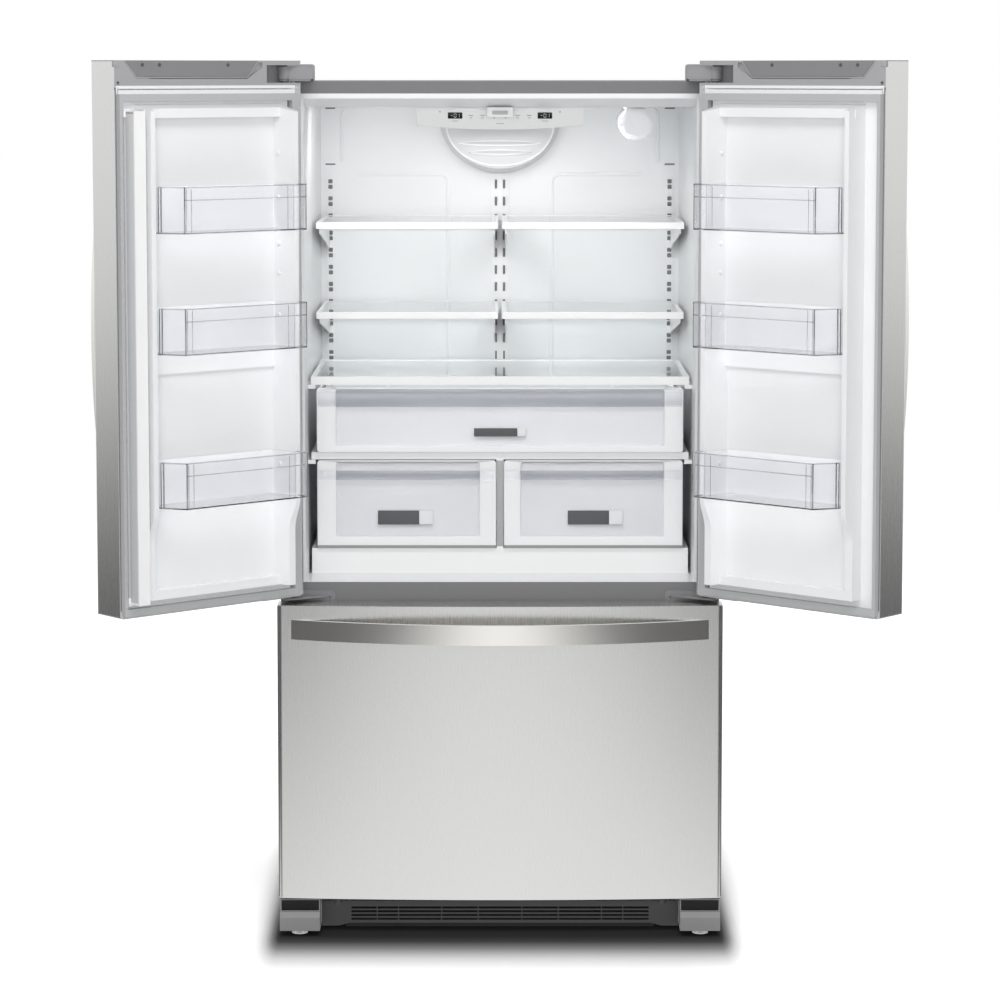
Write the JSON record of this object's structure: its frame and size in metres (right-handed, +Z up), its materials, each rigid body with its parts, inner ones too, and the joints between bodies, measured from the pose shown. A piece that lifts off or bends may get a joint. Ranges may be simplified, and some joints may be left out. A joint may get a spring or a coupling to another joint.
{
  "type": "french door refrigerator",
  "caption": "Upright refrigerator with two hinged fresh food doors standing open over a bottom freezer drawer, with glass shelves, door bins and sliding drawers inside.",
  "frame": {"origin": "on the floor, at the middle of the whole part's box with both doors standing open", "axes": "+X to the viewer's right, +Y to the back, +Z up"},
  "size_m": [1.6086, 1.1096, 1.782],
  "materials": {
    "stainless": "vertical brushed grain, satin",
    "cabinet_paint": "fine textured grey paint",
    "rail_paint": "semi-gloss grey paint",
    "zinc": "zinc-plated sheet",
    "liner_white": "thermoformed, gloss",
    "trim_white": "moulded, gloss",
    "cap_grey": "moulded, matte",
    "toe_grey": "moulded, matte",
    "foot_grey": "moulded, matte",
    "clear_plastic": "clear moulded polystyrene",
    "glass": "tempered, polished edge",
    "gasket": "extruded magnetic seal",
    "handle_metal": "satin",
    "foam": "rigid polyurethane foam",
    "flap_grey": "satin grey sheet over white plastic",
    "basket_white": "moulded",
    "fan_plastic": "moulded, matte",
    "compressor_black": "black enamel",
    "coil_aluminium": "mill finish",
    "roller": "moulded nylon",
    "filter_blue": "translucent moulded"
  },
  "bodies": {
    "cabinet": {"cabinet_shell": "cabinet_paint", "back_panel": "zinc", "base_frame": "zinc", "insulation_foam": "foam", "fridge_liner": "liner_white", "freezer_liner": "liner_white", "center_rail": "rail_paint", "door_hinges": "zinc", "hinge_covers": "cap_grey", "shelf_ladders": "trim_white", "shelf_frames": "trim_white", "shelf_glass": "glass", "drawer_covers": "trim_white", "control_housing": "trim_white", "light_shield": "trim_white", "filter_housing": "trim_white", "evaporator_coil": "coil_aluminium", "evaporator_cover": "liner_white", "compressor": "compressor_black", "condenser_coil": "coil_aluminium", "machine_cover": "zinc", "base_grille": "toe_grey", "foot_covers": "foot_grey", "leveling_legs": "zinc", "freezer_rails": "zinc", "rear_connections": "fan_plastic"},
    "left_door": {"left_door_skin": "stainless", "left_door_foam": "foam", "left_door_liner": "liner_white", "left_door_gasket": "gasket", "left_door_end_caps": "cap_grey", "left_door_handle": "handle_metal", "left_door_bins": "clear_plastic"},
    "right_door": {"right_door_skin": "stainless", "right_door_foam": "foam", "right_door_liner": "liner_white", "right_door_gasket": "gasket", "right_door_end_caps": "cap_grey", "right_door_handle": "handle_metal", "right_door_bins": "clear_plastic"},
    "mullion_flap": {"mullion_flap": "flap_grey"},
    "freezer_drawer": {"freezer_door_skin": "stainless", "freezer_door_foam": "foam", "freezer_door_liner": "liner_white", "freezer_door_gasket": "gasket", "freezer_door_handle": "handle_metal", "freezer_slides": "zinc", "freezer_basket": "basket_white"},
    "freezer_tray": {"freezer_tray": "basket_white"},
    "deli_drawer": {"deli_drawer": "trim_white", "deli_front": "clear_plastic"},
    "left_crisper": {"left_crisper": "clear_plastic", "left_crisper_front": "clear_plastic"},
    "right_crisper": {"right_crisper": "clear_plastic", "right_crisper_front": "clear_plastic"},
    "filter_cap": {"filter_cap": "filter_blue"},
    "evaporator_fan": {"evaporator_fan": "fan_plastic"},
    "condenser_fan": {"condenser_fan": "fan_plastic"},
    "front_rollers": {"front_rollers": "roller"},
    "rear_rollers": {"rear_rollers": "roller"}
  },
  "joints": [
    {"name": "left_door_hinge", "type": "hinge", "parent": "cabinet", "child": "left_door", "pos_m": [-0.4325, -0.222, 1.2], "axis": [0, 0, -1], "range_deg": [-139, 0]},
    {"name": "right_door_hinge", "type": "hinge", "parent": "cabinet", "child": "right_door", "pos_m": [0.4325, -0.222, 1.2], "axis": [0, 0, 1], "range_deg": [-139, 0]},
    {"name": "mullion_flap_hinge", "type": "hinge", "parent": "left_door", "child": "mullion_flap", "pos_m": [-0.71946, -0.52445, 1.207], "axis": [0, 0, 1], "range_deg": [-90, 0]},
    {"name": "freezer_drawer_slide", "type": "slide", "parent": "cabinet", "child": "freezer_drawer", "axis": [0, -1, 0], "range_m": [0, 0.36]},
    {"name": "freezer_tray_slide", "type": "slide", "parent": "cabinet", "child": "freezer_tray", "axis": [0, -1, 0], "range_m": [0, 0.216]},
    {"name": "deli_drawer_slide", "type": "slide", "parent": "cabinet", "child": "deli_drawer", "axis": [0, -1, 0], "range_m": [0, 0.28]},
    {"name": "left_crisper_slide", "type": "slide", "parent": "cabinet", "child": "left_crisper", "axis": [0, -1, 0], "range_m": [0, 0.3]},
    {"name": "right_crisper_slide", "type": "slide", "parent": "cabinet", "child": "right_crisper", "axis": [0, -1, 0], "range_m": [0, 0.3]},
    {"name": "filter_cap_turn", "type": "hinge", "parent": "cabinet", "child": "filter_cap", "pos_m": [0.281, -0.052, 1.652], "axis": [0, 1, 0], "range_deg": [0, 90]},
    {"name": "evaporator_fan_spin", "type": "hinge", "parent": "cabinet", "child": "evaporator_fan", "pos_m": [0, 0.378, 0.575], "axis": [0, 1, 0], "continuous": true},
    {"name": "condenser_fan_spin", "type": "hinge", "parent": "cabinet", "child": "condenser_fan", "pos_m": [0, 0.4055, 0.148], "axis": [1, 0, 0], "continuous": true},
    {"name": "front_rollers_roll", "type": "hinge", "parent": "cabinet", "child": "front_rollers", "pos_m": [0, -0.092, 0.024], "axis": [1, 0, 0], "continuous": true},
    {"name": "rear_rollers_roll", "type": "hinge", "parent": "cabinet", "child": "rear_rollers", "pos_m": [0, 0.478, 0.022], "axis": [1, 0, 0], "continuous": true}
  ],
  "couplings": [
    {"joint": "freezer_tray_slide", "follows": "freezer_drawer_slide", "ratio": 0.6}
  ]
}
